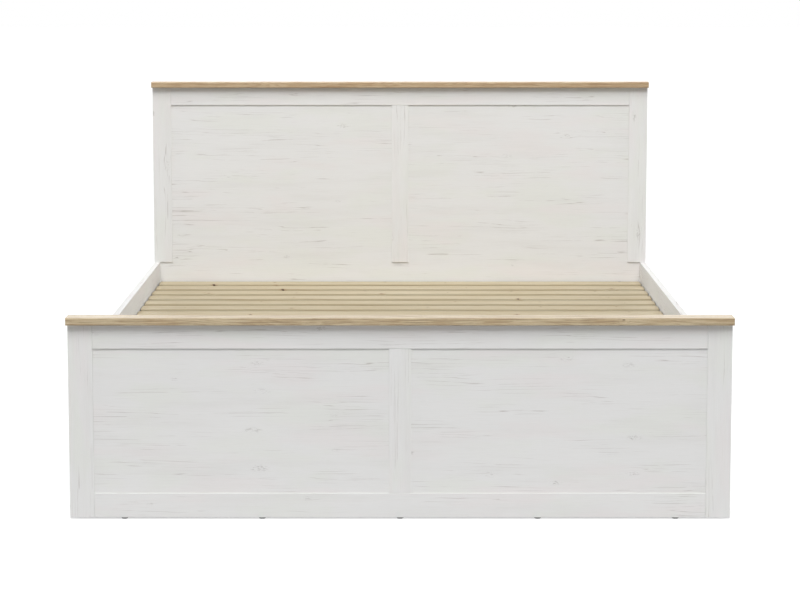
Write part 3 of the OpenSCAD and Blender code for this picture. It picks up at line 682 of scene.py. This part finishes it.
def object_place(tree):
    """Places on a piece as fields along X, Y and Z."""
    at = put(tree, "ShaderNodeTexCoord").outputs["Object"]
    parts = put(tree, "ShaderNodeSeparateXYZ", None, {"Vector": at}).outputs
    return [Field(tree, part) for part in parts]


def moulded(name, light, dark, rough, grain, depth, **even):
    """Moulded plastic or rubber: a fine even skin with flow marks and scuffed edges."""
    finish, tree, shader = new_finish(name, **even)
    place = object_place(tree)
    skin = drawn_noise(tree, place, (grain, grain, grain), 2.0)
    flow = drawn_noise(tree, place, (0.012, 0.012, 0.012), 2.0)
    colour = shade(tree, light + (1.0,), dark + (1.0,), flow.ramp(0.3, 0.7))
    lighter = tuple(min(1.0, c * 1.5 + 0.03) for c in light)
    colour = shade(tree, colour, lighter + (1.0,), edge_patches(tree) * 0.35)
    surfaced(tree, shader, colour, rough + skin * 0.14 - flow * 0.06, skin, depth)
    return finish


GLIDE_ROUND = 0.0016  # radius of the foot's edge
GLIDE_BREAK = 0.0002  # of the upper edge
GLIDE_CURVE = ((0.0, 1.0), (0.25, 0.5), (0.625, 0.125), (1.0, 0.0))  # radii up, and in from the rim
grey_glide = moulded("grey_glide_plastic", (0.270, 0.272, 0.280), (0.225, 0.228, 0.236), rough=0.42,
                     grain=0.0006, depth=0.00005, Specular_IOR_Level=0.45)
boxes = solids_of("glides")
radius = (boxes[0][1].x - boxes[0][0].x) / 2
height = boxes[0][1].z - boxes[0][0].z
rings = [(0.0, radius * 0.30, "round")]
rings += [(GLIDE_ROUND * up, radius - GLIDE_ROUND * inwards, "round") for up, inwards in GLIDE_CURVE]
rings += [(height - GLIDE_BREAK, radius, "round"), (height, radius - GLIDE_BREAK, "round")]
spots = [(((low + high) / 2).xy.to_3d(), (0, 0, 1)) for low, high in boxes]
set_in_places("nailed_glides", turned("glide", rings), grey_glide, spots, "root",
              "glides", seed=5)


# Centre divider and its buffers
# A foil-wrapped board on edge from the footboard to the headboard halves the storage. It is cut
# down at the head end, and three rubber buffers on it take the lifting frame's centre tube.

def dressed(node, finish, body, edge=0.0003, segments=2, near=1e-6):
    """A CAD part as it was made, with its arrises just broken."""
    shape = joined(node, near)
    ease(shape, edge, segments, least=0.0, angle=40.0)
    finished(node + "_part", shape, finish, body, [node])


eased_board("centre_divider", foil_along, "root", FOIL_EDGE)
black_rubber = moulded("black_buffer_rubber", (0.020, 0.020, 0.020), (0.014, 0.014, 0.014), rough=0.66,
                       grain=0.0008, depth=0.00010, Specular_IOR_Level=0.35)
dressed("divider_buffers", black_rubber, "root", edge=0.0009, segments=3)


# Storage floor
# Four white melamine-faced panels, 8 mm thick, lie loose on pine cleats along the rails, the
# divider and the middle of the bed.

melamine, tree, shader = new_finish("white_melamine", Specular_IOR_Level=0.5)
place = object_place(tree)
pearl = drawn_noise(tree, place, (0.0016, 0.0016, 0.0016), 1.0)
cloud = drawn_noise(tree, place, (0.25, 0.25, 0.25), 3.0)
scuff = drawn_noise(tree, place, (0.11, 0.0012, 0.01), 2.0).ramp(0.66, 0.74)
colour = shade(tree, (0.735, 0.732, 0.715, 1.0), (0.700, 0.698, 0.680, 1.0), cloud.ramp(0.35, 0.65))
colour = shade(tree, colour, (0.640, 0.636, 0.620, 1.0), scuff * 0.25)
colour = shade(tree, colour, (0.300, 0.225, 0.150, 1.0), edge_patches(tree) * 0.30)
surfaced(tree, shader, colour, 0.34 + pearl * 0.10 + scuff * 0.15, pearl, 0.00004)
eased_board("floor_panels", melamine, "root", edge=0.0004)
eased_board("floor_cleats", pine_along, "root", edge=0.0012)


# Corner brackets and bolts
# Bent 3 mm zinc-plated steel angles hold each rail to the end panels. Button-headed bolts with
# hexagon sockets go through them, and through the lift plates, into the boards.

def plated(name, light, dark, rough, spangle):
    """Bright zinc plate: faint spangles, brush marks, and duller rubbed edges."""
    finish, tree, shader = new_finish(name, Metallic=1.0)
    at = put(tree, "ShaderNodeTexCoord").outputs["Object"]
    cells = put(tree, "ShaderNodeTexVoronoi", None, {"Vector": at, "Scale": spangle})
    cell = put(tree, "ShaderNodeSeparateColor", None, {"Color": cells.outputs["Color"]}).outputs
    patch = Field(tree, cell["Red"])
    place = object_place(tree)
    brushed = drawn_noise(tree, place, (0.0007, 0.0007, 0.020), 2.0)
    cloud = drawn_noise(tree, place, (0.03, 0.03, 0.03), 2.0)
    colour = shade(tree, light + (1.0,), dark + (1.0,), patch * 0.7)
    colour = shade(tree, colour, (0.560, 0.540, 0.470, 1.0), cloud.ramp(0.55, 0.75) * 0.25)
    colour = shade(tree, colour, (0.400, 0.400, 0.400, 1.0), edge_patches(tree) * 0.35)
    surfaced(tree, shader, colour, rough + patch * 0.10 + brushed * 0.12, brushed, 0.00003)
    return finish


zinc = plated("bright_zinc", (0.640, 0.650, 0.665), (0.520, 0.530, 0.550), rough=0.26, spangle=260.0)
dressed("corner_brackets", zinc, "root", edge=0.0004)


def bolt_spot(low, high):
    """Where a bolt's head ends, and the way that it faces: towards the inside of the bed."""
    middle, size = (low + high) / 2, high - low
    axis = 0 if size.x > size.y else 1
    way = -1.0 if middle[axis] > 0 else 1.0
    facing = Vector((0.0, 0.0, 0.0))
    facing[axis] = way
    return middle + facing * size[axis] / 2, facing


BOLT_SHANK = 0.0030    # radius
BOLT_CHAMFER = 0.0006
BOLT_HEAD = 0.0030     # height
BOLT_DOME = ((0.0, 0.0002), (0.0002, 0.0), (0.0008, 0.0001), (0.0018, 0.0011), (0.0026, 0.0022),
             (0.0030, 0.0033))  # up from the head's underside, and in from its rim
SOCKET = 0.0020        # half the hexagon socket's width
SOCKET_BREAK = 0.0001
SOCKET_DEPTH = 0.0018
SOCKET_CONE = 0.0003   # depth of the drilled cone below it
boxes = solids_of("frame_bolts")
across = min(boxes[0][1] - boxes[0][0]) / 2
long = min(max(high - low) for low, high in boxes)  # the lift plates' bolts reach 1 mm deeper
rings = [(-long, BOLT_SHANK - BOLT_CHAMFER, "round"), (-long + BOLT_CHAMFER, BOLT_SHANK, "round"),
         (-BOLT_HEAD, BOLT_SHANK, "round")]
rings += [(up - BOLT_HEAD, across - inwards, "round") for up, inwards in BOLT_DOME]
rings += [(0.0, SOCKET + SOCKET_BREAK, "hex"), (-SOCKET_BREAK * 2, SOCKET, "hex"),
          (-SOCKET_DEPTH, SOCKET, "hex"), (-SOCKET_DEPTH - SOCKET_CONE, SOCKET * 0.4, "round")]
spots = [bolt_spot(*box) for box in boxes]
set_in_places("socket_bolts", turned("socket_bolt", rings), zinc, spots, "root",
              "frame_bolts", seed=7)


# Lift plates and arms
# A 4 mm plate on each side rail holds the lift's pivots and the track that its roller runs in. A
# flat steel arm swings on it. Both are welded and powder-coated black.

def powder_coat(name, tone):
    """Black powder coat: a fine orange peel, slight clouding, and edges rubbed thin."""
    finish, tree, shader = new_finish(name, Specular_IOR_Level=0.5)
    place = object_place(tree)
    peel = drawn_noise(tree, place, (0.0011, 0.0011, 0.0011), 1.0)
    cloud = drawn_noise(tree, place, (0.06, 0.06, 0.06), 3.0)
    dust = drawn_noise(tree, place, (0.02, 0.02, 0.02), 4.0, 0.65)
    colour = shade(tree, (tone, tone, tone * 1.05, 1.0), (tone * 1.7, tone * 1.7, tone * 1.75, 1.0),
                   cloud.ramp(0.35, 0.7))
    colour = shade(tree, colour, (0.090, 0.088, 0.084, 1.0), dust.ramp(0.55, 0.8) * 0.18)
    colour = shade(tree, colour, (0.120, 0.120, 0.122, 1.0), edge_patches(tree) * 0.40)
    surfaced(tree, shader, colour, 0.40 + peel * 0.16 + dust * 0.10, peel, 0.00005)
    return finish


ARM_SLIVER = 0.00025  # where an arm's eye meets its bar, points nearer than this are one
black_coat = powder_coat("black_powder_coat", tone=0.021)
for side in ("left", "right"):
    dressed("lift_plate_" + side, black_coat, "root", edge=0.0004)
    dressed("lift_arm_" + side, black_coat, "lift_arms", edge=0.0005, near=ARM_SLIVER)
dressed("lift_pivot_pins", zinc, "root", edge=0.0003)


# Gas struts
# A strut on each side carries most of the base's weight: a black enamelled tube with an eye at
# its foot, and a hard-chromed rod whose eye turns on a stud of the arm.

enamel, tree, shader = new_finish("black_strut_enamel", Specular_IOR_Level=0.55, Coat_Weight=0.4,
                                  Coat_Roughness=0.12)
place = object_place(tree)
ripple = drawn_noise(tree, place, (0.0018, 0.0018, 0.0018), 1.0)
dust = drawn_noise(tree, place, (0.030, 0.030, 0.030), 3.0, 0.55)
scratch = drawn_noise(tree, place, (0.0006, 0.0006, 0.050), 1.0).ramp(0.72, 0.82)
colour = shade(tree, (0.016, 0.016, 0.017, 1.0), (0.022, 0.022, 0.023, 1.0), dust.ramp(0.4, 0.7))
colour = shade(tree, colour, (0.060, 0.060, 0.062, 1.0), scratch * 0.25)
colour = shade(tree, colour, (0.100, 0.100, 0.102, 1.0), edge_patches(tree) * 0.40)
surfaced(tree, shader, colour, 0.27 + dust * 0.06 + scratch * 0.10, ripple, 0.000006)
dressed("strut_cylinders", enamel, "strut_cylinders", edge=0.0004)

chrome, tree, shader = new_finish("hard_chrome", Metallic=1.0)
place = object_place(tree)
ground = drawn_noise(tree, place, (0.004, 0.004, 0.0003), 2.0)
oil = drawn_noise(tree, place, (0.010, 0.010, 0.016), 3.0)
colour = shade(tree, (0.700, 0.705, 0.715, 1.0), (0.560, 0.560, 0.560, 1.0), oil.ramp(0.4, 0.7))
colour = shade(tree, colour, (0.430, 0.430, 0.430, 1.0), edge_patches(tree) * 0.3)
surfaced(tree, shader, colour, 0.09 + ground * 0.06 + oil * 0.10, ground, 0.00001)
dressed("strut_rods", chrome, "strut_rods", edge=0.0004)


# Lifting frame
# Steel tubes, 20 by 30 mm with a 1.5 mm wall, are welded into a frame with a leg for the roller on
# each side, and powder-coated. It pivots on the arms' upper ends.

TUBE_CORNER = 0.0012  # radius of the cross tubes' long corners
CROSS_END = 0.1       # shorter arrises are at the cross tubes' welded ends, and stay sharp
for side in ("left", "right"):
    dressed("base_side_tube_" + side, black_coat, "slat_base", edge=0.0005)
dressed("base_centre_tube", black_coat, "slat_base", edge=0.0005)
shape = joined("base_cross_tubes")
ease(shape, TUBE_CORNER, least=CROSS_END)
finished("base_cross_tubes_part", shape, black_coat, "slat_base", ["base_cross_tubes"])
dressed("base_pivot_bolts", zinc, "slat_base", edge=0.0003)


# Rollers
# A moulded nylon roller, 30 mm across, turns on a pin in each side's leg and runs in the track.
# The two guide the base's head end towards the foot as the base lifts.

nylon = moulded("white_roller_nylon", (0.735, 0.730, 0.700), (0.690, 0.682, 0.650), rough=0.36,
                grain=0.0008, depth=0.00004, Specular_IOR_Level=0.5)
for side in ("left", "right"):
    dressed("roller_" + side, nylon, "roller_" + side, edge=0.0007, segments=3)


# Slats
# Eighteen planed pine boards, 68 by 18 mm with eased edges, lie across the lifting frame. Each
# has its own grain, a knot or two, and year rings on its sawn ends.

sweeping, given, result = new_shape_tree("strip_swept_along_path", {
    "Width": "Float", "Thickness": "Float", "Edge": "Float", "Bend": "Float", "Sideways": "Vector",
    "Finish": "Material"})
line = put(sweeping, "GeometryNodeMeshToCurve", None, {"Mesh": given["Start"]})
bent = put(sweeping, "GeometryNodeFilletCurve", {"mode": "POLY"},
           {"Curve": line.outputs[0], "Count": 8, "Radius": given["Bend"]})
path = put(sweeping, "GeometryNodeSetCurveNormal", {"mode": "FREE"},
           {"Curve": bent.outputs[0], "Normal": given["Sideways"]})
section = put(sweeping, "GeometryNodeCurvePrimitiveQuadrilateral", None,
              {"Width": given["Width"], "Height": given["Thickness"]})
rounded = put(sweeping, "GeometryNodeFilletCurve", {"mode": "POLY"},
              {"Curve": section.outputs[0], "Count": 4, "Radius": given["Edge"]})
swept = put(sweeping, "GeometryNodeCurveToMesh", None,
            {"Curve": path.outputs[0], "Profile Curve": rounded.outputs[0], "Fill Caps": True})
close_tree(sweeping, swept.outputs[0], given["Finish"], result)


def swept_along(name, points, width, thickness, edge, bend, sideways, finish, body, node):
    """A strip of rounded rectangular section swept along a path that bends at its inner points."""
    start = bpy.data.meshes.new(name + "_path")
    start.from_pydata(points, [(k, k + 1) for k in range(len(points) - 1)], [])
    return grown(name, start, sweeping,
                 {"Width": width, "Thickness": thickness, "Edge": edge, "Bend": bend,
                  "Sideways": sideways, "Finish": finish}, body, [node], sharp=50.0)


SLATS = 18
SLAT_EDGE = 0.002
STRIDE = 1.37  # from one slat's number to the next, so that each is cut from another place
slat_pine = pine("slat_pine", (0, 1, 2), tone=0.975, ring=0.0058)
for number in range(1, SLATS + 1):
    node = f"slat_{number:02d}"
    low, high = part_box(node)
    middle, size = (low + high) / 2, high - low
    ends = [(low.x, middle.y, middle.z), (high.x, middle.y, middle.z)]
    slat = swept_along(node + "_board", ends, size.y, size.z, SLAT_EDGE, 0.0, (0.0, 1.0, 0.0),
                       slat_pine, "slat_base", node)
    numbered(slat, number * STRIDE)


# Slat screws
# Three zinc-plated screws hold each slat, driven up through the tubes. Their domed heads with
# crossed recesses bear on the tubes' undersides.

SCREW_SHANK = 0.0020   # radius
SCREW_POINT = 0.0003   # radius of the tip
SCREW_TAPER = 0.0060   # length of the pointed end
SCREW_HEAD = 0.0025    # height
SCREW_DOME = ((0.0, 0.0002), (0.0003, 0.0), (0.0016, 0.0005), (0.0022, 0.0014))  # as the bolts'
RECESS = 0.0019        # how far the crossed recess reaches at the top
RECESS_FOOT = 0.0011   # how far it reaches at its foot
RECESS_DEPTH = 0.0014
boxes = solids_of("slat_screws")
across = (boxes[0][1].x - boxes[0][0].x) / 2
long = boxes[0][1].z - boxes[0][0].z
rings = [(-long, SCREW_POINT, "round"), (-long + SCREW_TAPER, SCREW_SHANK, "round"),
         (-SCREW_HEAD, SCREW_SHANK, "round")]
rings += [(up - SCREW_HEAD, across - inwards, "round") for up, inwards in SCREW_DOME]
rings += [(0.0, RECESS + 0.0003, "round"), (0.0, RECESS, "cross"),
          (-RECESS_DEPTH, RECESS_FOOT, "cross"), (-RECESS_DEPTH - 0.0002, 0.0004, "round")]
spots = [(Vector(((low.x + high.x) / 2, (low.y + high.y) / 2, low.z)), (0, 0, -1)) for low, high in boxes]
set_in_places("slat_screws_driven", turned("slat_screw", rings), zinc, spots, "slat_base",
              "slat_screws", seed=9)


# Pull strap
# Black polyester webbing, 40 mm wide, runs up the frame's foot tube and over the last slat. Each
# end is sewn with grey thread in a boxed cross. The storage is opened by it.

STRAP_THICK = 0.003
STRAP_EDGE = 0.0011
WARP = 0.0016          # from one lengthwise thread of the webbing to the next
WEFT = WARP * 1.4      # from one crosswise thread to the next
webbing, tree, shader = new_finish("black_webbing", Sheen_Weight=0.35, Sheen_Roughness=0.5,
                                   Specular_IOR_Level=0.3)
x_place, y_place, z_place = object_place(tree)
along = z_place - y_place
ribs = along.math("ABSOLUTE", along.math("SINE", x_place * (math.pi / WARP)))
step = along.math("FLOOR", x_place / WARP) * (WARP * 0.5)
crossings = along.math("ABSOLUTE", along.math("SINE", (along + step) * (math.pi / WEFT)))
weave_relief_and_shade = ribs * 0.55 + crossings * 0.45
fuzz = drawn_noise(tree, [x_place, y_place, z_place], (0.0006, 0.0006, 0.0006), 3.0, 0.7)
# painted shade and highlight: the gaps between the threads are painted darker and the thread crests
# lighter; the fuzz varies the tone at random
colour = shade(tree, (0.010, 0.010, 0.011, 1.0), (0.040, 0.040, 0.043, 1.0), weave_relief_and_shade * 0.7 + fuzz * 0.3)
surfaced(tree, shader, colour, 0.78 + fuzz * 0.15, weave_relief_and_shade + fuzz * 0.2, 0.00035)

low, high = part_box("pull_strap")
face = low.y + STRAP_THICK / 2
top = high.z - STRAP_THICK / 2
strap_path = [(0.0, face, low.z), (0.0, face, top), (0.0, high.y, top)]
swept_along("pull_strap_webbing", strap_path, high.x - low.x, STRAP_THICK, STRAP_EDGE,
            SLAT_EDGE + STRAP_THICK / 2, (1.0, 0.0, 0.0), webbing, "slat_base", "pull_strap")

STITCH = 0.0030        # length of one stitch
GAP = 0.0012           # from one stitch to the next
THREAD_THICK = 0.0007
THREAD_RISE = THREAD_THICK * 0.1  # from the webbing to a stitch's middle line
SEAM_INSET = 0.004     # from the webbing's edges and ends to the seam
TOP_SEAM_END = 0.034   # from the strap's upper end to its seam's far line
FOOT_SEAM_END = 0.030  # from the strap's lower end to its seam's far line


def stitched(first, last):
    """Spots for the stitches of a straight seam, each with the way that it runs."""
    run = last - first
    count = max(1, round(run.length / (STITCH + GAP)))
    return [(first + run * ((k + 0.5) / count), run.normalized()) for k in range(count)]


def boxed_seam(corners):
    """Spots for a seam sewn round a rectangle and from corner to corner."""
    a, b, c, d = [Vector(corner) for corner in corners]
    return [spot for ends in ((a, b), (b, c), (c, d), (d, a), (a, c), (b, d)) for spot in stitched(*ends)]


edge = high.x - SEAM_INSET
above = high.z + THREAD_RISE
front = low.y - THREAD_RISE
near, far = high.y - SEAM_INSET, high.y - TOP_SEAM_END
spots = boxed_seam([(-edge, near, above), (edge, near, above), (edge, far, above), (-edge, far, above)])
near, far = low.z + SEAM_INSET, low.z + FOOT_SEAM_END
spots += boxed_seam([(-edge, front, near), (edge, front, near), (edge, front, far), (-edge, front, far)])
thread, tree, shader = new_finish("grey_sewing_thread", Sheen_Weight=0.2, Specular_IOR_Level=0.35)
twist = drawn_noise(tree, object_place(tree), (0.0004, 0.0004, 0.0004), 2.0)
colour = shade(tree, (0.180, 0.180, 0.185, 1.0), (0.090, 0.090, 0.094, 1.0), twist.ramp(0.35, 0.65))
surfaced(tree, shader, colour, 0.60 + twist * 0.2, twist, 0.00005)
half, shoulder = STITCH / 2, STITCH * 0.4
thick, thin = THREAD_THICK / 2, THREAD_THICK * 0.1
stitch = turned("stitch", [(-half, thin, "round"), (-shoulder, thick, "round"),
                           (shoulder, thick, "round"), (half, thin, "round")])
set_in_places("strap_stitches", stitch, thread, spots, "slat_base", "pull_strap", seed=11)
